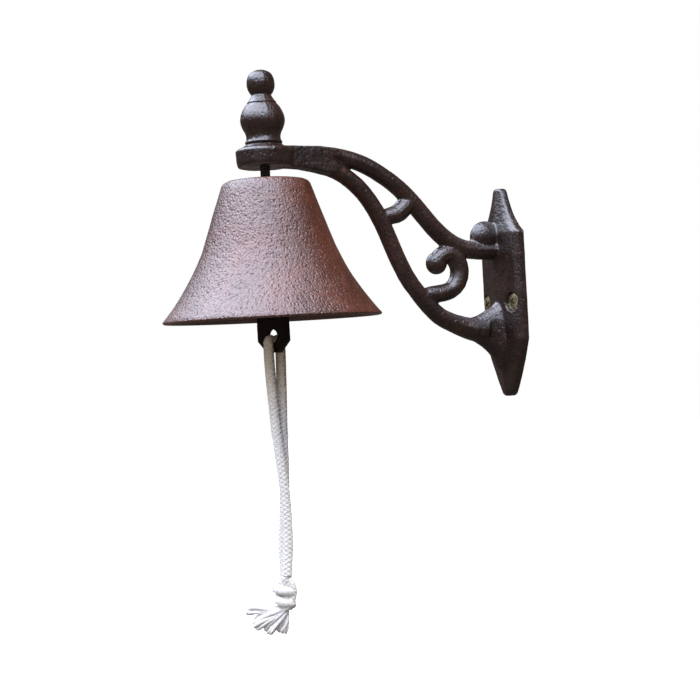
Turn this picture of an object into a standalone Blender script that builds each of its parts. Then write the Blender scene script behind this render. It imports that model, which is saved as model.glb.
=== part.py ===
"""Wall mounted cast-iron bell: a scroll bracket, a turning bell on an eye bolt, a clapper and a pull rope.

Frame: the wall is the plane Y = 0, the bell hangs in front of it at -Y, +Z is up, and the origin is
the centre of the wall plate's rear face. Metres.
"""

import math

import bmesh
import bpy
from mathutils import Matrix, Vector

# ---- driving dimensions ----
GAP = 0.0003                # clearance between touching pieces
REACH = 0.140               # wall to the bell's axis
PLATE_LOW = -0.0575
PLATE_TOP = 0.0560
PLATE_TIP = 0.0015          # height of the blunted tips
PLATE_HALF_WIDTH = 0.0194
PLATE_EDGE_T = 0.0043       # thickness at the rim
PLATE_CHAMFER = 0.0029      # width of the sloping band inside the rim
PLATE_FACE_T = 0.0062       # thickness at the inside of that band
PLATE_RIDGE_T = 0.0089      # thickness along the middle
SHOULDER_TOP = 0.0316       # where the upper taper starts
SHOULDER_LOW = -0.0265      # where the lower taper starts
SCREW_X = 0.0130
SCREW_Z = -0.0065
SCREW_HEAD_R = 0.0048
SCREW_SHANK_R = 0.0022
SCREW_SINK = 0.0026         # height of the countersink
SCREW_SEAT = 0.0052         # top of the countersink above the wall

BAR_SWELL = 1.13            # the bars' radii against their rows
BOSS_R = 0.0146
BOSS_LOW = 0.0668
BOSS_TOP = 0.0783
BELL_TOP = 0.0600
BELL_HEIGHT = 0.0706
BELL_RIM_R = 0.0555
RIM_EDGE = 0.0011           # height of the rim's thin edge
BELL_WALL = 0.0032
CROWN_WALL = 0.0040
CROWN_R = 0.0226
CROWN_HOLE_R = 0.0032

BOLT_R = 0.0025             # M5
BOLT_TOP = 0.0950
NUT_FLATS = 0.0080
NUT_T = 0.0040
WASHER_R = 0.0075
WASHER_T = 0.0010
EYE_R = 0.0045              # centre line of the eye
EYE_WIRE_R = 0.0016
LINK_WIRE_R = 0.0012
LINK_STRAIGHT = 0.0050
CLAPPER_YAW = math.radians(29.0)   # the flat tail's normal, turned from -Y towards +X
BALL_R = 0.0130
BALL_Z = 0.0020
TAB_HALF_WIDTH = 0.0095
TAB_T = 0.0035
TAB_LOW = -0.0272
TAB_CHAMFER = 0.0058
TAB_HOLE_R = 0.0034
TAB_HOLE_Z = -0.0186

ROPE_R = 0.0026
ROPE_BEND_R = ROPE_R + 0.00035     # centre line round the tail's edge
ROPE_LOW = -0.1400          # where the strands go into the knot
KNOT_R = 0.0063
KNOT_HEIGHT = 0.0176
KNOT_ASIDE = -0.0008

TURN_STEPS = 24             # sides of a small turned piece
BELL_STEPS = 40
TUBE_SIDES = 4              # bevel resolution: 12 sides
ROPE_SIDES = 2              # bevel resolution: 8 sides

BELL_AXIS = Vector((0.0, -REACH, 0.0))
FACE_WAY = Vector((math.sin(CLAPPER_YAW), -math.cos(CLAPPER_YAW), 0.0))   # normal of the tail
WIDE_WAY = Vector((math.cos(CLAPPER_YAW), math.sin(CLAPPER_YAW), 0.0))    # along its width
SIGHT_WAY = Vector((0.42, 0.91, 0.0)).normalized()                        # the way that the rope wanders

# ---- heights that follow ----
CROWN_UNDER = BELL_TOP - CROWN_WALL
WASHER_Z = CROWN_UNDER - GAP - WASHER_T / 2
NUT_Z = WASHER_Z - WASHER_T / 2 - GAP - NUT_T / 2
LOCK_NUT_Z = NUT_Z - NUT_T - GAP
EYE_Z = LOCK_NUT_Z - NUT_T / 2 - 0.0004 - EYE_R - EYE_WIRE_R
HOOK_Z = EYE_Z - EYE_R                                    # the link hangs about the eye's lowest wire
LINK_BEND_R = EYE_WIRE_R + GAP + LINK_WIRE_R
LINK_LOW_Z = HOOK_Z - LINK_STRAIGHT                       # centre of the link's lower bend
CLAPPER_PIVOT_Z = LINK_LOW_Z - LINK_BEND_R                # the clapper hangs about the link's lowest wire
LOOP_Z = LINK_LOW_Z - EYE_R                               # centre of the clapper's loop
ROPE_PIVOT_Z = TAB_HOLE_Z - TAB_HOLE_R + ROPE_BEND_R
ROPE_SIDE = TAB_T / 2 + ROPE_BEND_R                       # strand to the tail's middle plane
BIGHT_LOW_Z = TAB_HOLE_Z - TAB_HOLE_R - 0.0020


# ---- scene, materials and small helpers ----
def clear_scene():
    for item in list(bpy.data.objects):
        bpy.data.objects.remove(item, do_unlink=True)
    for item in list(bpy.data.collections):
        bpy.data.collections.remove(item)


def new_collection(name):
    made = bpy.data.collections.new(name)
    bpy.context.scene.collection.children.link(made)
    return made


def new_material(name, color, roughness, metallic):
    made = bpy.data.materials.new(name)
    made.use_nodes = True
    shader = made.node_tree.nodes["Principled BSDF"]
    shader.inputs["Base Color"].default_value = (*color, 1.0)
    shader.inputs["Roughness"].default_value = roughness
    shader.inputs["Metallic"].default_value = metallic
    made.diffuse_color = (*color, 1.0)
    return made


def add_object(name, data, collection, material=None):
    made = bpy.data.objects.new(name, data)
    collection.objects.link(made)
    if material is not None:
        data.materials.append(material)
    return made


def pivot_at(name, place, collection, parent=None):
    """An empty on a joint's axis, for the pieces that move about it."""
    pivot = add_object(name, None, collection)
    pivot.empty_display_size = 0.01
    pivot.location = place
    if parent is not None:
        hang(pivot, parent)
    return pivot


def hang(item, pivot):
    """Parents the item to the pivot and leaves it where it is."""
    bpy.context.view_layer.update()
    item.parent = pivot
    item.matrix_parent_inverse = pivot.matrix_world.inverted()


def make_cutter(item):
    item.hide_render = True
    item.display_type = "WIRE"
    return item


def boolean(target, other, operation):
    step = target.modifiers.new(operation.title(), "BOOLEAN")
    step.operation = operation
    step.solver = "EXACT"
    step.object = other
    make_cutter(other)


def mesh_from(bm, name):
    bmesh.ops.recalc_face_normals(bm, faces=bm.faces)
    mesh = bpy.data.meshes.new(name)
    bm.to_mesh(mesh)
    bm.free()
    return mesh


def turned(name, profile, collection, material=None, steps=TURN_STEPS, closed=True):
    """A Screw round Z of an (r, z) profile at +X that runs down its outer side."""
    mesh = bpy.data.meshes.new(name)
    edges = [(i, i + 1) for i in range(len(profile) - 1)]
    if closed:
        edges.append((len(profile) - 1, 0))
    mesh.from_pydata([(r, 0.0, z) for r, z in profile], edges, [])
    made = add_object(name, mesh, collection, material)
    screw = made.modifiers.new("Turn", "SCREW")
    screw.axis = "Z"
    screw.steps = steps
    screw.render_steps = steps
    screw.use_merge_vertices = True
    screw.merge_threshold = 0.00001
    screw.use_smooth_shade = True
    return made


def cylinder(name, radius, low, high, collection, segments=24):
    """A plain upright cylinder between two heights."""
    bm = bmesh.new()
    lift = Matrix.Translation((0.0, 0.0, (low + high) / 2))
    bmesh.ops.create_cone(bm, cap_ends=True, segments=segments, radius1=radius, radius2=radius,
                          depth=high - low, matrix=lift)
    return add_object(name, mesh_from(bm, name), collection)


def ball(name, radius, centre, stretch, collection, segments=24, rings=14):
    """A sphere whose three radii are radius times stretch, with its scale in the mesh."""
    bm = bmesh.new()
    place = Matrix.Translation(centre) @ Matrix.Diagonal((*stretch, 1.0))
    bmesh.ops.create_uvsphere(bm, u_segments=segments, v_segments=rings, radius=radius, matrix=place)
    made = add_object(name, mesh_from(bm, name), collection)
    made.data.shade_smooth()
    return made


def smooth_path(points, spans):
    """Points of one smooth curve (Catmull-Rom) through the given ones, spans steps between each pair."""
    path = []
    last = len(points) - 1
    for i in range(last):
        a = points[max(i - 1, 0)]
        b = points[i]
        c = points[i + 1]
        d = points[min(i + 2, last)]
        for k in range(spans):
            t = k / spans
            path.append(0.5 * (2 * b + (c - a) * t + (2 * a - 5 * b + 4 * c - d) * t**2
                               + (3 * b - 3 * c + d - a) * t**3))
    path.append(points[last].copy())
    return path


def tube(name, path, radius, collection, material=None, sides=TUBE_SIDES, widths=None, cyclic=False):
    """A round tube on a POLY spline; widths scale its radius point by point."""
    curve = bpy.data.curves.new(name, "CURVE")
    curve.dimensions = "3D"
    curve.bevel_depth = radius
    curve.bevel_resolution = sides
    curve.use_fill_caps = not cyclic
    spline = curve.splines.new("POLY")
    spline.points.add(len(path) - 1)
    for i, place in enumerate(path):
        spline.points[i].co = (*place, 1.0)
        spline.points[i].radius = widths[i] if widths else 1.0
    spline.use_cyclic_u = cyclic
    spline.use_smooth = True
    return add_object(name, curve, collection, material)


def flat_outline(name, loops, thickness, collection, rounding=0.0):
    """A plate of the given (x, y) loops, the first one outside, in the XY plane."""
    curve = bpy.data.curves.new(name, "CURVE")
    curve.dimensions = "2D"
    curve.fill_mode = "BOTH"
    curve.extrude = thickness / 2 - rounding
    curve.bevel_depth = rounding
    curve.bevel_resolution = 1
    curve.offset = -rounding
    for loop in loops:
        spline = curve.splines.new("POLY")
        spline.points.add(len(loop) - 1)
        for i, (x, y) in enumerate(loop):
            spline.points[i].co = (x, y, 0.0, 1.0)
        spline.use_cyclic_u = True
    return add_object(name, curve, collection)


def as_mesh(item, collection):
    """The curve object as a mesh object with welded caps; the curve is removed."""
    bpy.context.view_layer.update()
    solid = item.evaluated_get(bpy.context.evaluated_depsgraph_get())
    mesh = bpy.data.meshes.new_from_object(solid)
    bm = bmesh.new()
    bm.from_mesh(mesh)
    bmesh.ops.remove_doubles(bm, verts=bm.verts, dist=0.00001)
    bmesh.ops.recalc_face_normals(bm, faces=bm.faces)
    bm.to_mesh(mesh)
    bm.free()
    name = item.name
    place = item.matrix_world.copy()
    bpy.data.objects.remove(item, do_unlink=True)
    made = add_object(name, mesh, collection)
    made.matrix_world = place
    return made


def circle_loop(radius, count, centre=(0.0, 0.0)):
    turn = 2 * math.pi / count
    return [(centre[0] + radius * math.cos(i * turn), centre[1] + radius * math.sin(i * turn))
            for i in range(count)]


def arc(centre, radius, start, end, count):
    """(r, z) points on an arc; angles in degrees from +r towards +z, both ends included."""
    step = (end - start) / (count - 1)
    angles = [math.radians(start + i * step) for i in range(count)]
    return [(centre[0] + radius * math.cos(a), centre[1] + radius * math.sin(a)) for a in angles]


def side_points(rows):
    """(y, z, radius) rows, in millimetres, of a bar in the arm's middle plane."""
    places = [Vector((0.0, y, z)) * 0.001 for y, z, _ in rows]
    widths = [r for _, _, r in rows]
    return places, widths


def arm_bar(name, rows, collection, spans=2):
    """A round bar of the arm, through (y, z, radius) rows in millimetres."""
    places, widths = side_points(rows)
    widths = [w * BAR_SWELL for w in widths]
    path = smooth_path(places, spans)
    fine = [v.x for v in smooth_path([Vector((w, 0.0, 0.0)) for w in widths], spans)]
    return as_mesh(tube(name, path, 0.001, collection, widths=fine), collection)


def loft(name, sections, collection):
    """A closed body through rings of equally many points, with flat ends."""
    bm = bmesh.new()
    rings = [[bm.verts.new(p) for p in ring] for ring in sections]
    count = len(rings[0])
    for low, high in zip(rings, rings[1:]):
        for i in range(count):
            j = (i + 1) % count
            bm.faces.new((low[i], low[j], high[j], high[i]))
    bm.faces.new(list(reversed(rings[0])))
    bm.faces.new(rings[-1])
    return add_object(name, mesh_from(bm, name), collection)


# ---- the bracket: one casting of plate, foot, scroll arm and boss ----
def plate_half_width(z):
    """Half the plate's width at height z: a concave upper taper, a straight body and lower taper."""
    if z > SHOULDER_TOP:
        tip = PLATE_TOP - PLATE_TIP
        control = Vector((0.0100, 0.0375))
        low = Vector((PLATE_HALF_WIDTH, SHOULDER_TOP))
        high = Vector((0.0042, tip))
        a = low.y - 2 * control.y + high.y
        b = 2 * (control.y - low.y)
        t = (-b + math.sqrt(b * b - 4 * a * (low.y - min(z, tip)))) / (2 * a)
        return (1 - t)**2 * low.x + 2 * t * (1 - t) * control.x + t * t * high.x
    if z < SHOULDER_LOW:
        down = (SHOULDER_LOW - z) / (SHOULDER_LOW - PLATE_LOW)
        return PLATE_HALF_WIDTH * (1 - down) + 0.0040 * down + 0.0012 * math.sin(math.pi * down)
    return PLATE_HALF_WIDTH


def plate_section(z, width, depth):
    """The plate's outline at height z, with its thicknesses above the rim scaled by depth."""
    inner = width - min(PLATE_CHAMFER, 0.35 * width)
    face = PLATE_EDGE_T + (PLATE_FACE_T - PLATE_EDGE_T) * depth
    ridge = PLATE_EDGE_T + (PLATE_RIDGE_T - PLATE_EDGE_T) * depth
    half = [(width, 0.0), (width, PLATE_EDGE_T), (inner, face)]
    mirrored = [(-x, y) for x, y in reversed(half)]
    return [Vector((x, -y, z)) for x, y in half + [(0.0, ridge)] + mirrored]


def make_plate(collection, material):
    heights = [PLATE_LOW, PLATE_LOW + PLATE_TIP, -0.0480, -0.0370, SHOULDER_LOW, -0.0080,
               0.0120, SHOULDER_TOP, 0.0328, 0.0345, 0.0370, 0.0405, 0.0450, 0.0500,
               PLATE_TOP - PLATE_TIP, PLATE_TOP]
    sections = []
    for z in heights:
        beyond = max(z - SHOULDER_TOP, SHOULDER_LOW - z, 0.0)
        depth = 1.0 - 0.75 * min(beyond / 0.0260, 1.0)
        width = plate_half_width(z)
        if z in (PLATE_LOW, PLATE_TOP):
            width *= 0.62
        sections.append(plate_section(z, width, depth))
    plate = loft("wall_bracket", sections, collection)
    plate.data.materials.append(material)
    soften = plate.modifiers.new("Soften", "BEVEL")
    soften.width = 0.0006
    soften.segments = 1
    soften.limit_method = "ANGLE"
    soften.angle_limit = math.radians(25)
    return plate


def foot_section(y, centre_z, half_z, half_x):
    """One superellipse ring of the foot, in the plane at y."""
    ring = []
    count = 16
    for i in range(count):
        turn = 2 * math.pi * i / count
        x = math.copysign(abs(math.cos(turn)) ** 0.8, math.cos(turn)) * half_x
        z = math.copysign(abs(math.sin(turn)) ** 0.8, math.sin(turn)) * half_z
        ring.append(Vector((x, y, centre_z + z)) * 0.001)
    return ring


def make_arm(cutters):
    """The solids that are joined to the plate: bars, curls, web, foot and boss."""
    upper = arm_bar("arm_upper", [
        (-133, 73.6, 3.9), (-121, 73.8, 3.9), (-110, 73.9, 3.9), (-100.4, 72.9, 4), (-94.1, 71.7, 4),
        (-87.7, 69.8, 4), (-81.4, 67.2, 4), (-75.1, 63.7, 4), (-68.6, 59.4, 4), (-62.1, 54, 4.1),
        (-55.4, 47.2, 4.2), (-48.6, 39.2, 4.2), (-41.6, 32, 4.3), (-34, 26.4, 4.4), (-27, 23.6, 4.5),
        (-19, 22.6, 4.5), (-5, 22.4, 4.7)], cutters)
    lower = arm_bar("arm_lower", [
        (-133, 70.6, 3.7), (-121, 70.0, 3.8), (-112, 68.5, 3.9), (-103.8, 66.5, 4), (-96.3, 63, 4),
        (-89.1, 57.6, 4), (-82.1, 49.6, 4), (-75.4, 37.9, 4), (-69.1, 22.8, 4), (-63, 10, 4),
        (-56.6, 1.1, 4), (-50.3, -6.5, 4.1), (-43.7, -12.4, 4.3), (-37.3, -15.7, 4.5),
        (-30.5, -18.3, 5), (-24, -20.2, 5.6), (-16, -20.8, 5.8)], cutters)
    scroll = arm_bar("arm_scroll", [
        (-55, -2, 3.6), (-49, -0.6, 4), (-43.5, -0.2, 4.2), (-37, 1.2, 4.3), (-32, 5.5, 4.5),
        (-30.2, 11.8, 4.6), (-32, 17.8, 4.7), (-36.5, 21.2, 4.5), (-41.0, 20.0, 4.5),
        (-44.0, 17.0, 4.4)], cutters)
    knuckle = arm_bar("arm_knuckle", [
        (-78, 39.5, 3.2), (-73, 41.2, 3.8), (-67.0, 42.6, 4.4), (-62.6, 45.6, 4.6), (-58.5, 50, 3.8)],
        cutters)
    curl = ball("arm_curl", 0.0061, Vector((0.0, -0.0442, 0.0162)), (0.82, 1.0, 1.0), cutters, 20, 12)
    disc = ball("arm_disc", 0.0089, Vector((0.0, -0.0134, 0.0296)), (0.60, 1.0, 1.0), cutters, 20)
    web = flat_outline("arm_web", [[(-0.134, 0.0670), (-0.121, 0.0664), (-0.112, 0.0649), (-0.105, 0.0632),
                                    (-0.0975, 0.0680), (-0.101, 0.0766), (-0.110, 0.0776), (-0.134, 0.0776)]],
                       0.0094, cutters)
    web.matrix_world = Matrix(((0, 0, 1, 0), (1, 0, 0, 0), (0, 1, 0, 0), (0, 0, 0, 1)))
    web = as_mesh(web, cutters)
    foot = loft("arm_foot", [
        foot_section(-27, -19.6, 5.3, 4.4), foot_section(-22, -20.3, 7.2, 4.6),
        foot_section(-18, -20.8, 9.4, 4.8), foot_section(-14, -21.5, 12.1, 5.2),
        foot_section(-11, -22.8, 14.9, 5.8), foot_section(-8.6, -24.2, 18.5, 6.8),
        foot_section(-4, -24.4, 20.0, 7.6)], cutters)
    boss = turned("arm_boss", [
        (0.0, BOSS_TOP), (0.0096, BOSS_TOP), (0.0104, 0.0774), (0.0118, 0.0766), (0.0137, 0.0760),
        (BOSS_R, 0.0750), (BOSS_R, 0.0742), (BOSS_R - 0.0003, 0.0690), (0.0137, BOSS_LOW + 0.0004),
        (0.0132, BOSS_LOW), (0.0, BOSS_LOW)], cutters, closed=False)
    boss.location = BELL_AXIS
    return [upper, lower, scroll, knuckle, curl, disc, web, foot, boss]


def make_bracket(parts, cutters, iron):
    plate = make_plate(parts, iron)
    for piece in make_arm(cutters):
        boolean(plate, piece, "UNION")
    above = 0.0200
    below = -0.0020
    for side in (-1, 1):
        hole = turned(f"screw_hole_{side + 1}", [
            (0.0, above), (SCREW_HEAD_R + GAP, above), (SCREW_HEAD_R + GAP, SCREW_SEAT),
            (SCREW_SHANK_R + GAP, SCREW_SEAT - SCREW_SINK), (SCREW_SHANK_R + GAP, below), (0.0, below)],
            cutters, closed=False)
        hole.rotation_euler = (math.radians(90), 0.0, 0.0)
        hole.location = (side * SCREW_X, 0.0, SCREW_Z)
        boolean(plate, hole, "DIFFERENCE")
    margin = 0.004
    bolt_hole = cylinder("boss_hole", BOLT_R + GAP, BOSS_LOW - margin, BOSS_TOP + margin, cutters)
    bolt_hole.location = BELL_AXIS
    boolean(plate, bolt_hole, "DIFFERENCE")
    return plate


def make_screws(parts, cutters, brass):
    """Two countersunk cross-head screws, cut short at the wall plane."""
    head_top = SCREW_SEAT + GAP
    for side, name in ((-1, "wall_screw_left"), (1, "wall_screw_right")):
        screw = turned(name, [
            (0.0, head_top + 0.0008), (0.0022, head_top + 0.0006), (0.0040, head_top + 0.0002),
            (SCREW_HEAD_R, head_top - 0.0001), (SCREW_SHANK_R, head_top - SCREW_SINK - 0.0001),
            (SCREW_SHANK_R, 0.0008), (SCREW_SHANK_R - 0.0004, 0.0003), (0.0, 0.0003)],
            parts, brass, closed=False)
        screw.rotation_euler = (math.radians(90), math.radians(28 * side), 0.0)
        screw.location = (side * SCREW_X, 0.0, SCREW_Z)
        for turn in (0, 90):
            bm = bmesh.new()
            blade = Matrix.Translation((0.0, 0.0, head_top + 0.0006)) @ Matrix.Diagonal(
                (0.0009, 0.0050, 0.0030, 1.0))
            bmesh.ops.create_cube(bm, size=1.0, matrix=Matrix.Rotation(math.radians(turn), 4, "Z") @ blade)
            slot = add_object(f"{name}_slot_{turn}", mesh_from(bm, name), cutters)
            slot.parent = screw
            boolean(screw, slot, "DIFFERENCE")


# ---- finial, eye bolt, nuts and washer ----
def make_finial(parts, iron):
    """The turned ornament, a cap nut with a blind bore, on top of the boss."""
    base = BOSS_TOP + GAP
    bore = BOLT_R + GAP
    bore_top = BOLT_TOP + 0.0015
    small_ball = [(0.0, 0.1163), (0.0030, 0.1158), (0.0053, 0.1145), (0.0066, 0.1124), (0.0071, 0.1100),
                  (0.0069, 0.1070), (0.0061, 0.1047), (0.0056, 0.1031)]
    collar = [(0.0060, 0.1016), (0.0068, 0.1004), (0.0076, 0.0995)]
    big_ball = [(0.0088, 0.0978), (0.0101, 0.0955), (0.0109, 0.0932), (0.0113, 0.0905), (0.0110, 0.0883),
                (0.0103, 0.0861), (0.0095, 0.0842), (0.0090, 0.0816)]
    bead = [(0.0090, 0.0806), (0.0094, 0.0800), (0.0095, 0.0792), (0.0092, base)]
    inside = [(bore, base), (bore, bore_top), (0.0, bore_top + 0.0012)]
    finial = turned("finial_nut", small_ball + collar + big_ball + bead + inside, parts, iron, closed=False)
    finial.location = BELL_AXIS
    return finial


def make_eye_bolt(parts, cutters, steel):
    """M5 rod from inside the finial down to a closed eye."""
    bolt = turned("hanger_eye_bolt", [
        (0.0, BOLT_TOP), (BOLT_R - 0.0005, BOLT_TOP), (BOLT_R, BOLT_TOP - 0.0005),
        (BOLT_R, EYE_Z + EYE_R + 0.0008), (EYE_WIRE_R * 0.8, EYE_Z + EYE_R - 0.0002),
        (0.0, EYE_Z + EYE_R - 0.0002)], parts, steel, closed=False)
    bolt.location = BELL_AXIS
    eye = ring_tube("bolt_eye", EYE_R, EYE_WIRE_R, EYE_Z, WIDE_WAY, cutters)
    boolean(bolt, eye, "UNION")
    return bolt


def ring_tube(name, radius, wire, centre_z, way, collection, count=24):
    """A wire ring in the upright plane along way, centred on the bell's axis."""
    centre = BELL_AXIS + Vector((0.0, 0.0, centre_z))
    path = []
    for i in range(count):
        turn = 2 * math.pi * (i + 0.5) / count
        path.append(centre + way * (radius * math.cos(turn)) + Vector((0.0, 0.0, radius * math.sin(turn))))
    return as_mesh(tube(name, path, wire, collection, cyclic=True), collection)


def make_nut(name, centre_z, turn, parts, steel):
    corner = NUT_FLATS / 2 / math.cos(math.pi / 6)
    nut = flat_outline(name, [circle_loop(corner, 6), circle_loop(BOLT_R + GAP, 24)], NUT_T, parts)
    nut.data.materials.append(steel)
    nut.location = BELL_AXIS + Vector((0.0, 0.0, centre_z))
    nut.rotation_euler = (0.0, 0.0, math.radians(turn))
    return nut


def make_washer(parts, steel):
    half = WASHER_T / 2
    bore = BOLT_R + GAP
    washer = turned("crown_washer", [
        (WASHER_R - 0.0002, half), (WASHER_R, half - 0.0002), (WASHER_R, -half + 0.0002),
        (WASHER_R - 0.0002, -half), (bore, -half), (bore, half)], parts, steel)
    washer.location = BELL_AXIS + Vector((0.0, 0.0, WASHER_Z))
    return washer


# ---- bell ----
def bell_outer():
    """(r, z) down the outside: crown corner, straight cone, then a flare to the rim."""
    cone = math.radians(19.2)
    flare_start = math.radians(22.5)
    flare_end = math.radians(41.0)
    cone_low = BELL_TOP - 0.0340
    cone_high = BELL_TOP - 0.0022
    points = [(CROWN_R - 0.0032, BELL_TOP), (CROWN_R - 0.0012, BELL_TOP - 0.0005)]
    for i in range(4):
        z = cone_high + (cone_low - cone_high) * i / 3
        points.append((CROWN_R + (cone_high - z) * math.tan(cone), z))
    start_r, start_z = points[-1]
    rim_z = BELL_TOP - BELL_HEIGHT + RIM_EDGE
    bend = (start_z - rim_z) / (math.sin(flare_end) - math.sin(flare_start))
    steps = 8
    flare = []
    for i in range(1, steps + 1):
        lean = flare_start + (flare_end - flare_start) * i / steps
        flare.append((start_r + bend * (math.cos(flare_start) - math.cos(lean)),
                      start_z - bend * (math.sin(lean) - math.sin(flare_start))))
    stretch = (BELL_RIM_R - start_r) / (flare[-1][0] - start_r)
    points += [(start_r + (r - start_r) * stretch, z) for r, z in flare]
    return points


def bell_inner(outer):
    """(r, z) of the inside, one wall thickness in, from the rim up to the crown's hole."""
    inner = []
    for (r0, z0), (r1, z1) in zip(outer[2:], outer[3:]):
        away = Vector((z0 - z1, r1 - r0)).normalized()
        inner.append(((r0 + r1) / 2 - away.x * BELL_WALL, (z0 + z1) / 2 - away.y * BELL_WALL))
    inner = [p for p in inner if BELL_TOP - BELL_HEIGHT + 0.0007 < p[1] < CROWN_UNDER - 0.0025]
    return list(reversed(inner))


def make_bell(parts, iron):
    outer = bell_outer()
    inner = bell_inner(outer)
    rim_r, rim_z = outer[-1]
    low = BELL_TOP - BELL_HEIGHT
    lip = [(rim_r - 0.0002, rim_z - 0.0007), (rim_r - 0.0009, low), (rim_r - 0.0030, low)]
    under_r = inner[-1][0] - 0.0026
    crown = [(under_r, CROWN_UNDER), (CROWN_HOLE_R, CROWN_UNDER), (CROWN_HOLE_R, BELL_TOP)]
    bell = turned("bell", outer + lip + inner + crown, parts, iron, steps=BELL_STEPS)
    bell.location = BELL_AXIS
    return bell


# ---- link and clapper ----
def make_link(parts, steel):
    """A closed wire link from the eye to the clapper's loop, in the plane along the tail's normal."""
    path = []
    count = 10
    for centre_z, start in ((HOOK_Z, 0.0), (LINK_LOW_Z, math.pi)):
        for i in range(count + 1):
            turn = start + math.pi * i / count
            path.append(FACE_WAY * (LINK_BEND_R * math.cos(turn))
                        + Vector((0.0, 0.0, centre_z - HOOK_Z + LINK_BEND_R * math.sin(turn))))
    link = tube("clapper_link", path, LINK_WIRE_R, parts, steel, sides=3, cyclic=True)
    link.location = BELL_AXIS + Vector((0.0, 0.0, HOOK_Z))
    return link


def make_clapper(parts, cutters, iron, link):
    """Loop, shank, ball and flat tail of one casting, hung from its pivot on the link."""
    neck_r = 0.0029
    neck_top = LOOP_Z - EYE_R - 0.0004
    dip = math.degrees(math.acos(neck_r / BALL_R))
    body = [(0.0, neck_top), (neck_r - 0.0010, neck_top), (neck_r, neck_top - 0.0025)]
    body += arc((0.0, BALL_Z), BALL_R, dip - 8, -78, 12)
    body.append((0.0, BALL_Z - BALL_R))
    clapper = turned("clapper", body, parts, iron, steps=28, closed=False)
    clapper.location = BELL_AXIS
    loop = ring_tube("clapper_loop", EYE_R, EYE_WIRE_R, LOOP_Z, WIDE_WAY, cutters)
    boolean(clapper, loop, "UNION")
    half = TAB_HALF_WIDTH
    tail = flat_outline("clapper_tail", [
        [(-half, BALL_Z - 0.004), (-half, TAB_LOW + TAB_CHAMFER), (-half + TAB_CHAMFER, TAB_LOW),
         (half - TAB_CHAMFER, TAB_LOW), (half, TAB_LOW + TAB_CHAMFER), (half, BALL_Z - 0.004)],
        circle_loop(TAB_HOLE_R, 20, (0.0, TAB_HOLE_Z))], TAB_T, cutters)
    upright = Matrix(((WIDE_WAY.x, 0, FACE_WAY.x), (WIDE_WAY.y, 0, FACE_WAY.y), (0, 1, 0))).to_4x4()
    tail.matrix_world = Matrix.Translation(BELL_AXIS) @ upright
    boolean(clapper, as_mesh(tail, cutters), "UNION")
    pivot = pivot_at("clapper_pivot", BELL_AXIS + Vector((0.0, 0.0, CLAPPER_PIVOT_Z)), parts, link)
    hang(clapper, pivot)
    return pivot


# ---- pull rope: a bight through the tail, two strands, a knot and a frayed tassel ----
def bight_path():
    """Over the tail's lower edge, in the plane along the tail's normal, from front to back."""
    edge = Vector((TAB_T / 2, TAB_HOLE_Z - TAB_HOLE_R))
    half = [Vector((0.0, ROPE_PIVOT_Z))]
    steps = 6
    for i in range(steps + 1):
        turn = math.radians(90 * i / steps)
        half.append(edge + ROPE_BEND_R * Vector((math.sin(turn), math.cos(turn))))
    half.append(Vector((ROPE_SIDE, BIGHT_LOW_Z)))
    flat = [Vector((p.x, p.y)) for p in reversed(half)] + [Vector((-p.x, p.y)) for p in half[1:]]
    return [BELL_AXIS + FACE_WAY * p.x + Vector((0.0, 0.0, p.y)) for p in flat]


# (z in mm, half the distance between the strands in mm, heading of the front strand in degrees from
# -Y towards +X, sideways wander in mm)
ROPE_LAY = [
    (-24.3, 4.70, 29, 0.0), (-30, 4.65, 29, 0.0), (-38, 4.3, 29, 0.0), (-47, 3.8, 29, 0.1),
    (-56, 3.2, 30, 0.2), (-65, 2.85, 34, 0.3), (-75, 2.85, 42, 0.7), (-86, 2.85, 55, 1.1),
    (-97, 2.85, 68, 1.4), (-108, 2.85, 80, 1.2), (-118, 2.85, 88, 0.9), (-128, 2.85, 90, 0.4),
    (-135, 2.85, 84, 0.0), (-140, 2.80, 80, -0.2)]


def strand_path(side):
    """Route of one strand from the bight to the knot; side is 1 in front and -1 behind."""
    route = []
    for z, apart, heading, wander in ROPE_LAY:
        turn = math.radians(heading)
        out = Vector((math.sin(turn), -math.cos(turn), 0.0))
        route.append(BELL_AXIS + 0.001 * (side * apart * out + wander * SIGHT_WAY)
                     + Vector((0.0, 0.0, z * 0.001)))
    return smooth_path(route, 2)


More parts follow.
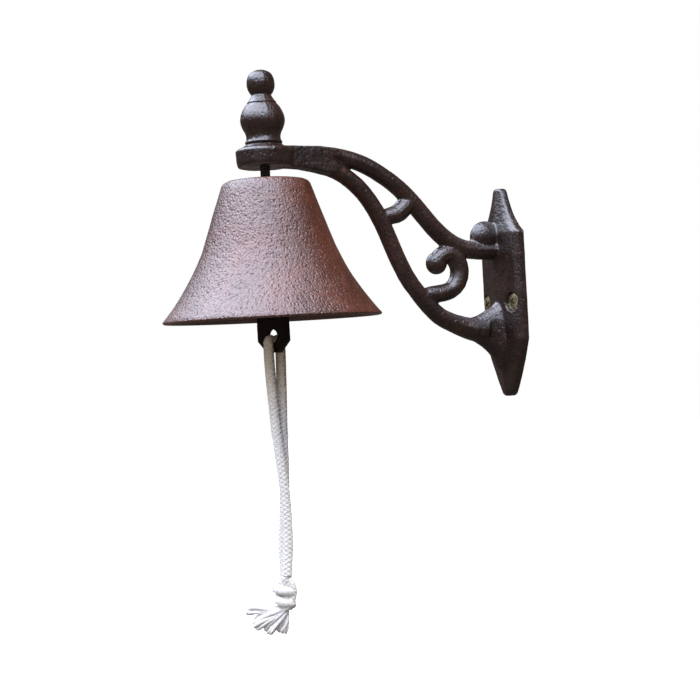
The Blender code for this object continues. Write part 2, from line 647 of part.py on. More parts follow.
def make_rope(parts, cotton, clapper_pivot):
    bight = tube("rope_bight", bight_path(), ROPE_R, parts, cotton, sides=ROPE_SIDES)
    front = tube("rope_strand_front", strand_path(1), ROPE_R, parts, cotton, sides=ROPE_SIDES)
    back = tube("rope_strand_back", strand_path(-1), ROPE_R, parts, cotton, sides=ROPE_SIDES)
    knot_at = BELL_AXIS + SIGHT_WAY * KNOT_ASIDE + Vector((0.0, 0.0, ROPE_LOW - GAP - KNOT_HEIGHT / 2))
    knot = turned("rope_knot", [
        (0.0, KNOT_HEIGHT / 2), (0.0054, KNOT_HEIGHT / 2), (0.0060, 0.0050), (KNOT_R, 0.0005),
        (0.0060, -0.0045), (0.0048, -0.0075), (0.0034, -KNOT_HEIGHT / 2), (0.0, -KNOT_HEIGHT / 2)],
        parts, cotton, steps=20, closed=False)
    knot.location = knot_at
    low = knot_at - Vector((0.0, 0.0, KNOT_HEIGHT / 2 + GAP))
    tail = [(0.0, 0.0, 2.8), (0.0, -1.0, 3.0), (-0.2, -2.2, 3.3), (-2.2, -4.6, 4.2), (-5.0, -6.6, 5.2),
            (-9.5, -8.4, 6.4), (-14.5, -9.0, 6.9), (-19.5, -8.2, 6.2), (-22.5, -7.4, 4.6)]
    route = [low + 0.001 * (SIGHT_WAY * s + Vector((0.0, 0.0, z))) for s, z, _ in tail]
    widths = [v.x for v in smooth_path([Vector((r, 0.0, 0.0)) for _, _, r in tail], 2)]
    tassel = tube("rope_tassel", smooth_path(route, 2), 0.001, parts, cotton, sides=3, widths=widths)
    pivot = pivot_at("rope_pivot", BELL_AXIS + Vector((0.0, 0.0, ROPE_PIVOT_Z)), parts, clapper_pivot)
    for item in (bight, front, back, knot, tassel):
        hang(item, pivot)


def main():
    clear_scene()
    parts = new_collection("wall_mounted_bell")
    cutters = new_collection("cutters")
    iron = new_material("bracket_iron", (0.045, 0.030, 0.028), 0.48, 0.55)
    bell_iron = new_material("bell_iron", (0.110, 0.060, 0.052), 0.50, 0.50)
    dark_iron = new_material("clapper_iron", (0.018, 0.016, 0.015), 0.60, 0.50)
    steel = new_material("hardware_steel", (0.10, 0.10, 0.10), 0.45, 0.90)
    brass = new_material("screw_brass", (0.62, 0.55, 0.36), 0.30, 0.95)
    cotton = new_material("rope_cotton", (0.82, 0.79, 0.73), 0.95, 0.0)
    make_bracket(parts, cutters, iron)
    make_screws(parts, cutters, brass)
    make_finial(parts, iron)
    make_eye_bolt(parts, cutters, steel)
    make_nut("crown_nut", NUT_Z, 10, parts, steel)
    make_nut("lock_nut", LOCK_NUT_Z, 37, parts, steel)
    make_washer(parts, steel)
    make_bell(parts, bell_iron)
    link = make_link(parts, steel)
    clapper_pivot = make_clapper(parts, cutters, dark_iron, link)
    make_rope(parts, cotton, clapper_pivot)


main()
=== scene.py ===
"""Looks of the wall mounted cast-iron bell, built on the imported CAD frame. Metres, +Z up, wall at Y = 0."""

import math
import random

import bmesh
import bpy
from mathutils import Matrix, Vector, noise


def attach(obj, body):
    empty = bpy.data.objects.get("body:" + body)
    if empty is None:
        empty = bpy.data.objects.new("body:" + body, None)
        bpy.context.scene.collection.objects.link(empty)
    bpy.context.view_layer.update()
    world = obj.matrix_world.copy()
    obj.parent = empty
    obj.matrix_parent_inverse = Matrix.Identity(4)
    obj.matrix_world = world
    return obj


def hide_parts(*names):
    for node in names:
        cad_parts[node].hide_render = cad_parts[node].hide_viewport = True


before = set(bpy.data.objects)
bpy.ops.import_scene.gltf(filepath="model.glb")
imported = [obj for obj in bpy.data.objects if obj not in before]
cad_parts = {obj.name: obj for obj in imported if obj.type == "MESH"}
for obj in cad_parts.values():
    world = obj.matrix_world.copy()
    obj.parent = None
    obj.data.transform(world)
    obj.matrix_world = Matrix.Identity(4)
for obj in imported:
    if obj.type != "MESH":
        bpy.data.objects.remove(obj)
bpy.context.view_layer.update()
SCENE = bpy.context.scene

# ---- dimensions shared with the CAD ----
REACH = 0.140
BELL_AXIS = Vector((0.0, -REACH, 0.0))
BELL_TOP = 0.0600
BELL_HEIGHT = 0.0706
BELL_RIM_R = 0.0555
RIM_EDGE = 0.0011           # height of the rim's thin edge
BELL_WALL = 0.0032
CROWN_WALL = 0.0040
CROWN_R = 0.0226
CROWN_HOLE_R = 0.0032
BOSS_TOP = 0.0783
BOLT_R = 0.0025
BOLT_TOP = 0.0950
GAP = 0.0003
SCREW_X = 0.0130
SCREW_Z = -0.0065
SCREW_HEAD_R = 0.0048
SCREW_SHANK_R = 0.0022
SCREW_SINK = 0.0026
SCREW_SEAT = 0.0052
CLAPPER_YAW = math.radians(29.0)
TAB_T = 0.0035
TAB_HOLE_R = 0.0034
TAB_HOLE_Z = -0.0186
ROPE_R = 0.0026
ROPE_BEND_R = ROPE_R + 0.00035
ROPE_SIDE = TAB_T / 2 + ROPE_BEND_R
PINCH = 0.62                # how thin the rope is drawn where it bends through the hole
BIGHT_LOW_Z = TAB_HOLE_Z - TAB_HOLE_R - 0.0020
ROPE_LOW = -0.1400
KNOT_HEIGHT = 0.0176
KNOT_ASIDE = -0.0008
PLATE_FRONT_Y = -0.0115     # in front of this the bracket is arm, not plate
BOSS_REACH = 0.0165         # nearer the bell's axis than this it is boss
FLOOR_Z = -0.62
FLOOR_R = 9.0
SKY = (3.9, 4.2, 5.1, 1.0)
ROOM = (0.10, 0.08, 0.07, 1.0)

FACE_WAY = Vector((math.sin(CLAPPER_YAW), -math.cos(CLAPPER_YAW), 0.0))
SIGHT_WAY = Vector((0.42, 0.91, 0.0)).normalized()
NEAR_WAY = Vector((0.91, -0.42, 0.0)).normalized()
UP = Vector((0.0, 0.0, 1.0))


# ---- camera ----
def make_camera():
    """A long lens level with the bell, 65 degrees round from straight on, rolled by 3 degrees."""
    data = bpy.data.cameras.new("camera")
    data.sensor_width = 36.0
    data.lens = 72.0
    data.clip_start = 0.02
    camera = bpy.data.objects.new("camera", data)
    SCENE.collection.objects.link(camera)
    turn = math.radians(65.0)
    roll = math.radians(3.0)
    forward = Vector((-math.sin(turn), math.cos(turn), 0.0))
    side = Vector((math.cos(turn), math.sin(turn), 0.0))
    right = side * math.cos(roll) - UP * math.sin(roll)
    up = side * math.sin(roll) + UP * math.cos(roll)
    pose = Matrix((right, up, -forward)).transposed().to_4x4()
    camera.matrix_world = Matrix.Translation((0.65944, -0.40536, -0.02783)) @ pose
    SCENE.camera = camera


# ---- small helpers ----
def add(name, data):
    made = bpy.data.objects.new(name, data)
    SCENE.collection.objects.link(made)
    return made


def mesh_of(name, verts, faces, smooth=True):
    mesh = bpy.data.meshes.new(name)
    mesh.from_pydata(verts, [], faces)
    mesh.validate()
    if smooth:
        mesh.shade_smooth()
    return mesh


def smooth_path(points, spans):
    path = []
    last = len(points) - 1
    for i in range(last):
        a = points[max(i - 1, 0)]
        b = points[i]
        c = points[i + 1]
        d = points[min(i + 2, last)]
        for k in range(spans):
            t = k / spans
            path.append(0.5 * (2 * b + (c - a) * t + (2 * a - 5 * b + 4 * c - d) * t**2
                               + (3 * b - 3 * c + d - a) * t**3))
    path.append(points[last].copy())
    return path


def resample(path, step):
    """The same line with points an even step apart."""
    reach = [0.0]
    for a, b in zip(path, path[1:]):
        reach.append(reach[-1] + (b - a).length)
    count = max(2, round(reach[-1] / step))
    out = []
    j = 0
    for i in range(count + 1):
        want = reach[-1] * i / count
        while j < len(path) - 2 and reach[j + 1] < want:
            j += 1
        span = reach[j + 1] - reach[j]
        t = (want - reach[j]) / span if span > 0 else 0.0
        out.append(path[j].lerp(path[j + 1], min(max(t, 0.0), 1.0)))
    return out


def path_frames(path):
    """A pair of side vectors at each point that doesn't twist along the path."""
    frames = []
    last = len(path) - 1
    normal = None
    for i in range(last + 1):
        way = (path[min(i + 1, last)] - path[max(i - 1, 0)]).normalized()
        if normal is None:
            normal = way.orthogonal().normalized()
        normal = (normal - way * normal.dot(way)).normalized()
        frames.append((normal.copy(), way.cross(normal)))
    return frames


def swept(path, sides, radius_at):
    """Vertices and faces of a closed tube; radius_at(angle, i, distance) is its radius there."""
    frames = path_frames(path)
    verts = []
    distance = 0.0
    for i, p in enumerate(path):
        if i:
            distance += (p - path[i - 1]).length
        n, b = frames[i]
        for k in range(sides):
            a = 2 * math.pi * k / sides
            verts.append(p + (n * math.cos(a) + b * math.sin(a)) * radius_at(a, i, distance))
    faces = []
    for i in range(len(path) - 1):
        for k in range(sides):
            j = (k + 1) % sides
            faces.append((i * sides + k, i * sides + j, (i + 1) * sides + j, (i + 1) * sides + k))
    faces.append(tuple(range(sides - 1, -1, -1)))
    end = (len(path) - 1) * sides
    faces.append(tuple(range(end, end + sides)))
    return verts, faces


def joined(shapes):
    verts = []
    faces = []
    for v, f in shapes:
        base = len(verts)
        verts += v
        faces += [tuple(i + base for i in face) for face in f]
    return verts, faces


def lathe(profile, steps, closed=False, wobble=None):
    """Vertices and faces of an (r, z) profile turned round Z; points on the axis close it."""
    verts = []
    rows = []
    for r, z in profile:
        if r < 1e-9:
            rows.append([len(verts)])
            verts.append(Vector((0.0, 0.0, z)))
            continue
        row = []
        for k in range(steps):
            a = 2 * math.pi * k / steps
            p = Vector((r * math.cos(a), r * math.sin(a), z))
            if wobble is not None:
                p += wobble(p, r)
            row.append(len(verts))
            verts.append(p)
        rows.append(row)
    faces = []
    pairs = list(zip(rows, rows[1:]))
    if closed:
        pairs.append((rows[-1], rows[0]))
    for top, low in pairs:
        for k in range(steps):
            j = (k + 1) % steps
            if len(top) == 1:
                faces.append((top[0], low[k], low[j]))
            elif len(low) == 1:
                faces.append((top[k], low[0], top[j]))
            else:
                faces.append((top[k], low[k], low[j], top[j]))
    return verts, faces


def fine_profile(points, spans):
    """A smooth line through (r, z) points."""
    line = smooth_path([Vector((r, z, 0.0)) for r, z in points], spans)
    return [(max(p.x, 0.0), p.y) for p in line[:-1]] + [points[-1]]


def outward(obj):
    bm = bmesh.new()
    bm.from_mesh(obj.data)
    bmesh.ops.recalc_face_normals(bm, faces=bm.faces)
    bm.to_mesh(obj.data)
    bm.free()
    return obj


def baked(obj):
    """Applies every modifier of the object to its mesh."""
    bpy.context.view_layer.update()
    solid = obj.evaluated_get(bpy.context.evaluated_depsgraph_get())
    mesh = bpy.data.meshes.new_from_object(solid)
    obj.modifiers.clear()
    obj.data = mesh
    mesh.shade_smooth()
    return obj


# ---- materials ----
class Nodes:
    """A short way to write a node tree."""

    def __init__(self, name):
        self.material = bpy.data.materials.new(name)
        self.material.use_nodes = True
        self.tree = self.material.node_tree
        self.shader = self.tree.nodes["Principled BSDF"]
        self.place = self.tree.nodes.new("ShaderNodeTexCoord").outputs["Object"]

    def new(self, kind, **values):
        made = self.tree.nodes.new(kind)
        for key, value in values.items():
            setattr(made, key, value)
        return made

    def link(self, out, into):
        self.tree.links.new(out, into)

    def fill(self, node, **inputs):
        for key, value in inputs.items():
            socket = node.inputs[key.replace("_", " ")]
            if isinstance(value, bpy.types.NodeSocket):
                self.link(value, socket)
            else:
                socket.default_value = value
        return node

    def noise(self, scale, detail=3.0, rough=0.55, place=None, distortion=0.0):
        made = self.fill(self.new("ShaderNodeTexNoise"), Vector=place or self.place, Scale=scale,
                         Detail=detail, Roughness=rough, Distortion=distortion)
        return made.outputs["Fac"]

    def cells(self, scale, place=None):
        made = self.fill(self.new("ShaderNodeTexVoronoi"), Vector=place or self.place, Scale=scale)
        return made.outputs["Distance"]

    def stretch(self, scale):
        made = self.fill(self.new("ShaderNodeMapping"), Vector=self.place, Scale=scale)
        return made.outputs["Vector"]

    def ramp(self, value, low, high, out_low=0.0, out_high=1.0):
        made = self.new("ShaderNodeMapRange", interpolation_type="SMOOTHSTEP")
        self.fill(made, Value=value, From_Min=low, From_Max=high, To_Min=out_low, To_Max=out_high)
        return made.outputs["Result"]

    def math(self, operation, a, b=0.0):
        made = self.new("ShaderNodeMath", operation=operation)
        for i, value in enumerate((a, b)):
            if isinstance(value, bpy.types.NodeSocket):
                self.link(value, made.inputs[i])
            else:
                made.inputs[i].default_value = value
        return made.outputs["Value"]

    def mix(self, factor, a, b):
        made = self.new("ShaderNodeMix", data_type="RGBA")
        for i, value in ((0, factor), (6, a), (7, b)):
            if isinstance(value, bpy.types.NodeSocket):
                self.link(value, made.inputs[i])
            elif i == 0:
                made.inputs[i].default_value = value
            else:
                made.inputs[i].default_value = (*value, 1.0)
        return made.outputs[2]

    def bump(self, height, distance, strength=1.0, normal=None):
        made = self.fill(self.new("ShaderNodeBump"), Height=height, Distance=distance, Strength=strength)
        if normal is not None:
            self.link(normal, made.inputs["Normal"])
        return made.outputs["Normal"]

    def done(self, slot, **inputs):
        self.fill(self.shader, **inputs)
        self.material["slot"] = slot
        return self.material


def cast_iron(name, dark, light, worn, grain, depth, rough_low, rough_high, level, slot, coat=0.0):
    """Painted sand casting: blotchy brown paint, fine pits and bumps with painted shade darkening the pits,
    rubbed high spots.

    grain is the scale of the sand marks and depth their bump; level and coat set how strongly it shines.
    """
    n = Nodes(name)
    broad = n.noise(34.0, 3.0, 0.6)
    patches = n.noise(170.0, 4.0, 0.62)
    sand = n.noise(grain, 4.0, 0.62)
    pits = n.cells(grain * 0.62, n.stretch((1.0, 1.0, 0.8)))
    colour = n.mix(n.ramp(broad, 0.35, 0.68), dark, light)
    colour = n.mix(n.ramp(patches, 0.50, 0.78, 0.0, 0.65), colour, worn)
    # Painted shade: the low spots of the sand grain, the pits, are darkened as if in shadow.
    colour = n.mix(n.ramp(sand, 0.30, 0.46, 0.75, 0.0), colour, tuple(0.35 * c for c in dark))
    rough = n.ramp(n.math("ADD", n.math("MULTIPLY", patches, 0.6), n.math("MULTIPLY", sand, 0.4)),
                   0.35, 0.70, rough_low, rough_high)
    height = n.math("ADD", n.math("MULTIPLY", sand, 1.0),
                    n.math("ADD", n.math("MULTIPLY", n.ramp(pits, 0.05, 0.45), 0.45),
                           n.math("MULTIPLY", patches, 0.9)))
    normal = n.bump(height, depth)
    shine = n.ramp(sand, 0.34, 0.50, 0.25 * coat, coat)
    return n.done(slot, Base_Color=colour, Roughness=rough, Normal=normal, Specular_IOR_Level=level,
                  Metallic=0.0, Coat_Weight=shine, Coat_IOR=1.65, Coat_Roughness=0.26, Coat_Normal=normal)


def dark_steel():
    n = Nodes("blackened_steel")
    blotch = n.noise(420.0, 3.0)
    turns = n.fill(n.new("ShaderNodeTexWave", bands_direction="Z"), Vector=n.place, Scale=200.0,
                   Distortion=0.4).outputs["Fac"]
    colour = n.mix(n.ramp(blotch, 0.35, 0.7), (0.020, 0.018, 0.017), (0.085, 0.070, 0.062))
    return n.done("hardware_steel", Base_Color=colour, Metallic=0.75,
                  Roughness=n.ramp(blotch, 0.3, 0.7, 0.34, 0.55),
                  Normal=n.bump(n.math("ADD", n.math("MULTIPLY", turns, 0.8), blotch), 0.00018))


def plated_brass():
    n = Nodes("plated_brass")
    stain = n.noise(520.0, 4.0)
    colour = n.mix(n.ramp(stain, 0.42, 0.72), (0.66, 0.60, 0.38), (0.32, 0.26, 0.14))
    # Darker below the seat line: the head's rim shades off, and the floor of the cross recess and the part
    # sunk in the plate go near black.
    depth = n.new("ShaderNodeSeparateXYZ")
    n.link(n.place, depth.inputs["Vector"])
    below_seat_dark = n.ramp(depth.outputs["Z"], SCREW_SEAT - 0.0002, SCREW_SEAT + 0.0005, 1.0, 0.0)
    colour = n.mix(below_seat_dark, colour, (0.016, 0.013, 0.010))
    return n.done("screw_brass", Base_Color=colour, Metallic=0.9,
                  Roughness=n.ramp(stain, 0.3, 0.7, 0.20, 0.42), Normal=n.bump(stain, 0.00005))


def cotton(name="braided_cotton"):
    """Off-white cotton yarn with fine fibres, tanned where it rubs in the iron hole, with painted shade in the
    creases between the yarns.
    """
    n = Nodes(name)
    fibres = n.noise(2600.0, 3.0, 0.6, n.stretch((1.0, 1.0, 0.35)))
    tufts = n.noise(520.0, 3.0)
    colour = n.mix(n.ramp(tufts, 0.35, 0.7), (0.76, 0.75, 0.73), (0.86, 0.855, 0.84))
    colour = n.mix(n.ramp(fibres, 0.36, 0.60, 0.60, 0.0), colour, (0.52, 0.50, 0.47))
    # Painted shade: the concave creases between the yarns (low pointiness) are darkened.
    crease_shade_pointiness = n.new("ShaderNodeNewGeometry").outputs["Pointiness"]
    colour = n.mix(n.ramp(crease_shade_pointiness, 0.42, 0.50, 0.75, 0.0), colour, (0.38, 0.36, 0.33))
    height = n.new("ShaderNodeSeparateXYZ")
    n.link(n.place, height.inputs["Vector"])
    stain = n.math("MULTIPLY", n.ramp(height.outputs["Z"], -0.072, -0.018), n.ramp(tufts, 0.2, 0.6, 0.40, 0.9))
    colour = n.mix(stain, colour, (0.66, 0.55, 0.41))
    return n.done("rope_cotton", Base_Color=colour, Roughness=0.92, Specular_IOR_Level=0.15,
                  Sheen_Weight=0.12, Sheen_Roughness=0.6,
                  Normal=n.bump(n.math("ADD", fibres, n.math("MULTIPLY", tufts, 0.5)), 0.00022))


# ---- rope ----
# (height in mm, half the distance between the strands in mm, heading of the front strand in degrees
# from -Y towards +X, sideways wander in mm): the same lay as the CAD's
ROPE_LAY = [
    (-24.3, 4.70, 29, 0.0), (-30, 4.65, 29, 0.0), (-38, 4.3, 29, 0.0), (-47, 3.8, 29, 0.1),
    (-56, 3.2, 30, 0.2), (-65, 2.85, 34, 0.3), (-75, 2.85, 42, 0.7), (-86, 2.85, 55, 1.1),
    (-97, 2.85, 68, 1.4), (-108, 2.85, 80, 1.2), (-118, 2.85, 88, 0.9), (-128, 2.85, 90, 0.4),
    (-135, 2.85, 84, 0.0), (-140, 2.80, 80, -0.2)]


def strand_route(side):
    route = []
    for z, apart, heading, wander in ROPE_LAY:
        turn = math.radians(heading)
        out = Vector((math.sin(turn), -math.cos(turn), 0.0))
        route.append(BELL_AXIS + 0.001 * (side * apart * out + wander * SIGHT_WAY) + UP * (z * 0.001))
    return smooth_path(route, 6)


def bight_route():
    edge = (TAB_T / 2, TAB_HOLE_Z - TAB_HOLE_R)
    half = [(0.0, edge[1] + ROPE_BEND_R * PINCH)]
    for i in range(9):
        turn = math.radians(90 * i / 8)
        bend = ROPE_BEND_R * (PINCH + (1.0 - PINCH) * math.sin(turn))
        half.append((edge[0] + bend * math.sin(turn), edge[1] + bend * math.cos(turn)))
    half.append((ROPE_SIDE, BIGHT_LOW_Z - 0.0010))
    flat = list(reversed(half)) + [(-x, z) for x, z in half[1:]]
    return [BELL_AXIS + FACE_WAY * x + UP * z for x, z in flat]


def braid(path, radius, sides=40, step=0.00032, pitch=0.0092, relief=0.24, start=0.0, taper=None):
    """A tube whose surface is an eight-strand braid: two families of yarns that pass over and under."""
    line = resample(path, step)

    def radius_at(a, i, s):
        s = s + start
        u = 4 * (a / (2 * math.pi) + s / pitch)
        v = 4 * (a / (2 * math.pi) - s / pitch)
        one = math.cos(math.pi * (u - math.floor(u) - 0.5)) ** 0.6
        two = math.cos(math.pi * (v - math.floor(v) - 0.5)) ** 0.6
        over = 1.0 if (math.floor(u) - math.floor(v)) % 2 == 0 else 0.0
        lift = max(one * (0.62 + 0.38 * over), two * (0.62 + 0.38 * (1 - over)))
        size = radius * (1.04 - relief + relief * lift)
        if taper is not None:
            size *= taper(i / (len(line) - 1))
        return size

    return swept(line, sides, radius_at)


def make_rope(material):
    """Two strands, the fold through the hole, the knot and the frayed end."""
    front_line = strand_route(1)
    back_line = strand_route(-1)
    for name, line, node, start in (("strand_front", front_line, "rope_strand_front", 0.0),
                                    ("strand_back", back_line, "rope_strand_back", 0.004)):
        verts, faces = braid(line, ROPE_R, start=start)
        piece = outward(add(name, mesh_of(name, verts, faces)))
        piece.data.materials.append(material)
        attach(piece, "rope")
        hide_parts(node)
    verts, faces = braid(smooth_path(bight_route(), 3), ROPE_R * 0.97, start=0.002,
                         taper=lambda t: PINCH + (1.0 - PINCH) * min(1.0, abs(2.0 * t - 1.0) * 1.5) ** 1.5)
    bight = outward(add("bight", mesh_of("bight", verts, faces)))
    bight.data.materials.append(material)
    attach(bight, "rope")
    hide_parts("rope_bight")
    knot = make_knot(material)
    tassel = make_tassel(material)


def knot_centre():
    return BELL_AXIS + SIGHT_WAY * KNOT_ASIDE + UP * (ROPE_LOW - GAP - KNOT_HEIGHT / 2)


def local(centre, across, near, up):
    return centre + 0.001 * (SIGHT_WAY * across + NEAR_WAY * near + UP * up)


def make_knot(material):
    """An overhand knot in the doubled rope: a band round it twice, with one part tucked under."""
    centre = knot_centre()
    wraps = []
    count = 40
    for i in range(count + 1):
        t = i / count
        turn = math.radians(250 - 620 * t)
        lift = 4.3 - 10.2 * t
        wide = 4.25 - 1.0 * t**2
        wraps.append(local(centre, wide * math.cos(turn) - 0.5, wide * 0.86 * math.sin(turn), lift))
    band = braid(wraps, 0.00245, sides=32, pitch=0.0078, relief=0.14)
    inner = []
    for side in (-1, 1):
        route = [local(centre, side * 0.3, side * 2.75, 8.9), local(centre, side * 0.4, side * 2.5, 6.5),
                 local(centre, side * 0.8, side * 1.7, 3.0), local(centre, side * 1.1, side * 1.0, -3.0),
                 local(centre, side * 0.9 - 0.2, side * 0.8, -8.3)]
        inner.append(braid(smooth_path(route, 6), 0.0024, sides=28, pitch=0.0080))
    cross = [local(centre, 1.4, 2.3, 8.2), local(centre, 3.1, 2.4, 5.2), local(centre, 3.9, 2.0, 1.8),
             local(centre, 3.4, 1.6, -2.0), local(centre, 1.6, 2.4, -5.6), local(centre, 0.2, 1.6, -7.2)]
    tuck = braid(smooth_path(cross, 6), 0.0020, sides=28, pitch=0.0074)
    verts, faces = joined([band, tuck] + inner)
    knot = outward(add("knot", mesh_of("knot", verts, faces)))
    knot.data.materials.append(material)
    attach(knot, "rope")
    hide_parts("rope_knot")
    return knot


def make_tassel(material):
    """The unravelled end: five tufts of soft yarns that fan out from under the knot."""
    rng = random.Random(11)
    root = knot_centre() - UP * (KNOT_HEIGHT / 2 - 0.0016)
    tufts = [
        ([(-0.8, 0.0, -0.6), (-7.0, 0.8, -0.9), (-14.5, 1.6, -0.2), (-20.6, 1.2, -0.9)], 2.1, 9),
        ([(-0.6, 0.3, -1.0), (-6.0, 2.2, -3.2), (-12.0, 3.0, -5.8), (-16.2, 2.2, -8.6)], 3.0, 13),
        ([(-0.4, 0.2, -1.2), (-4.0, 1.6, -5.0), (-7.8, 1.8, -9.0), (-9.8, 1.2, -12.2)], 3.0, 13),
        ([(-0.2, -0.4, -1.2), (-1.2, -0.6, -5.4), (-2.2, -0.8, -9.6), (-3.2, -0.6, -13.0)], 2.8, 12),
        ([(-0.8, -0.8, -1.0), (-6.2, -2.4, -2.6), (-12.2, -3.4, -4.6), (-15.4, -3.2, -7.0)], 2.6, 10),
    ]
    shapes = []
    for centre_line, spread, yarns in tufts:
        line = smooth_path([root + 0.001 * (SIGHT_WAY * a + NEAR_WAY * b + UP * c)
                            for a, b, c in centre_line], 5)
        frames = path_frames(line)
        last = len(line) - 1
        for k in range(yarns):
            out = math.sqrt((k + 0.35) / yarns) * spread * 0.001
            turn = k * 2.399963 + rng.uniform(-0.3, 0.3)
            twist = rng.uniform(0.6, 1.6)
            end = last - rng.choice((0, 0, 1, 1, 2))
            yarn = []
            for i in range(end + 1):
                t = i / last
                n, b = frames[i]
                angle = turn + twist * t
                wide = out * (0.28 + 0.86 * t**0.8) * (1.0 - 0.28 * max(0.0, t - 0.8) / 0.2)
                sway = 0.00035 * math.sin(7.0 * t + 3.0 * k)
                yarn.append(line[i] + n * (math.cos(angle) * wide + sway) + b * math.sin(angle) * wide)
            size = rng.uniform(0.00080, 0.00105)
            fine = resample(smooth_path(yarn, 2), 0.0006)
            stop = len(fine) - 1

            def radius_at(a, i, s, size=size, stop=stop, k=k):
                ply = 1.0 + 0.16 * math.cos(3 * a + s * 2400.0 + k)
                close = min(1.0, (stop - i) / 2.0)
                return size * ply * (0.62 + 0.38 * close**0.5)

            shapes.append(swept(fine, 9, radius_at))
            if k % 2 == 0:
                for hair in range(3):
                    start = fine[-1] if hair else fine[len(fine) * 2 // 3]
                    way = (fine[-1] - fine[-4]).normalized() + Vector(
                        (rng.uniform(-0.9, 0.9), rng.uniform(-0.9, 0.9), rng.uniform(-0.9, 0.9)))
                    bend = Vector((rng.uniform(-1, 1), rng.uniform(-1, 1), rng.uniform(-1, 0.4))) * 0.0006
                    reach = rng.uniform(0.0010, 0.0020)
                    wisp = [start - way * 0.0004, start + way * reach * 0.5 + bend * 0.4,
                            start + way * reach + bend]
                    shapes.append(swept(smooth_path(wisp, 3), 4, lambda a, i, s: 0.00009))
    verts, faces = joined(shapes)
    tassel = outward(add("tassel", mesh_of("tassel", verts, faces)))
    tassel.data.materials.append(material)
    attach(tassel, "rope")
    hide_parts("rope_tassel")
    return tassel


# ---- iron pieces ----
def soften(piece, steps, group=""):
    made = piece.modifiers.new("Soften", "SMOOTH")
    made.factor = 0.5
    made.iterations = steps
    made.vertex_group = group


def casting_from(node, name, voxel, smoothing, body, material, cutters=(), arm_smoothing=0):
    """A finer casting on the CAD piece's shape: remeshed, its joins run together, its skin uneven."""
    piece = add(name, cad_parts[node].data.copy())
    piece.data.materials.clear()
    bm = bmesh.new()
    bm.from_mesh(piece.data)
    bmesh.ops.remove_doubles(bm, verts=bm.verts, dist=0.000002)
    bm.to_mesh(piece.data)
    bm.free()
    for cutter in cutters:
        cut = piece.modifiers.new("Recess", "BOOLEAN")
        cut.operation = "DIFFERENCE"
        cut.solver = "EXACT"
        cut.object = cutter
    remesh = piece.modifiers.new("Cast", "REMESH")
    remesh.mode = "VOXEL"
    remesh.voxel_size = voxel
    soften(piece, smoothing)
    baked(piece)
    if arm_smoothing:
        group = piece.vertex_groups.new(name="arm")
        group.add([v.index for v in piece.data.vertices
                   if v.co.y < PLATE_FRONT_Y and (v.co - BELL_AXIS).xy.length > BOSS_REACH],
                  1.0, "REPLACE")
        soften(piece, arm_smoothing, "arm")
        baked(piece)
    for cutter in cutters:
        bpy.data.objects.remove(cutter, do_unlink=True)
    moved = []
    for vertex in piece.data.vertices:
        p = vertex.co
        lift = noise.noise(p * 140.0) * 0.00012 + noise.noise(p * 520.0) * 0.00005
        moved += list(p + vertex.normal * lift)
    piece.data.vertices.foreach_set("co", moved)
    piece.data.update()
    piece.data.materials.append(material)
    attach(piece, body)
    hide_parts(node)
    return piece


def leaf_cutter(name, side):
    """A leaf-shaped hollow where the slot between the bars runs out into the flat arm."""
    bm = bmesh.new()
    bmesh.ops.create_uvsphere(bm, u_segments=28, v_segments=18, radius=1.0)
    lean = Matrix.Rotation(math.radians(-34.0), 4, "X")
    place = Matrix.Translation((side * 0.0052, -0.0975, 0.0683)) @ lean @ Matrix.Diagonal(
        (0.0026, 0.0078, 0.0019, 1.0))
    bmesh.ops.transform(bm, matrix=place, verts=bm.verts)
    mesh = bpy.data.meshes.new(name)
    bm.to_mesh(mesh)
    bm.free()
    return add(name, mesh)


def bell_profile():
    """(r, z) once round the wall of the bell, on the CAD's dimensions."""
    cone = math.radians(19.2)
    flare_start = math.radians(22.5)
    flare_end = math.radians(41.0)
    cone_low = BELL_TOP - 0.0340
    cone_high = BELL_TOP - 0.0022
    outer = [(CROWN_HOLE_R + 0.0004, BELL_TOP), (CROWN_R - 0.0040, BELL_TOP - 0.00005),
             (CROWN_R - 0.0024, BELL_TOP - 0.0003), (CROWN_R - 0.0010, BELL_TOP - 0.0010)]
    for i in range(9):
        z = cone_high + (cone_low - cone_high) * i / 8
        outer.append((CROWN_R + (cone_high - z) * math.tan(cone), z))
    start_r, start_z = outer[-1]
    low = BELL_TOP - BELL_HEIGHT
    rim_z = low + RIM_EDGE
    bend = (start_z - rim_z) / (math.sin(flare_end) - math.sin(flare_start))
    flare = []
    for i in range(1, 17):
        lean = flare_start + (flare_end - flare_start) * i / 16
        flare.append((start_r + bend * (math.cos(flare_start) - math.cos(lean)),
                      start_z - bend * (math.sin(lean) - math.sin(flare_start))))
    stretch = (BELL_RIM_R - start_r) / (flare[-1][0] - start_r)
    outer += [(start_r + (r - start_r) * stretch, z) for r, z in flare]
    rim_r, rim_z = outer[-1]
    lip = [(rim_r, rim_z - 0.0004), (rim_r - 0.0002, rim_z - 0.0007), (rim_r - 0.0006, low + 0.0001),
           (rim_r - 0.0010, low), (rim_r - 0.0028, low), (rim_r - 0.0032, low + 0.0002)]
    inner = []
    for (r0, z0), (r1, z1) in zip(outer[4:], outer[5:]):
        away = Vector((z0 - z1, r1 - r0)).normalized()
        inner.append(((r0 + r1) / 2 - away.x * BELL_WALL, (z0 + z1) / 2 - away.y * BELL_WALL))
    under = BELL_TOP - CROWN_WALL
    inner = [p for p in inner if low + 0.0008 < p[1] < under - 0.0022]
    inner.reverse()
    crown = [(inner[-1][0] - 0.0010, under - 0.0006), (inner[-1][0] - 0.0030, under),
             (CROWN_HOLE_R + 0.0004, under), (CROWN_HOLE_R, under + 0.0004), (CROWN_HOLE_R, BELL_TOP - 0.0004)]
    return outer + lip + inner + crown


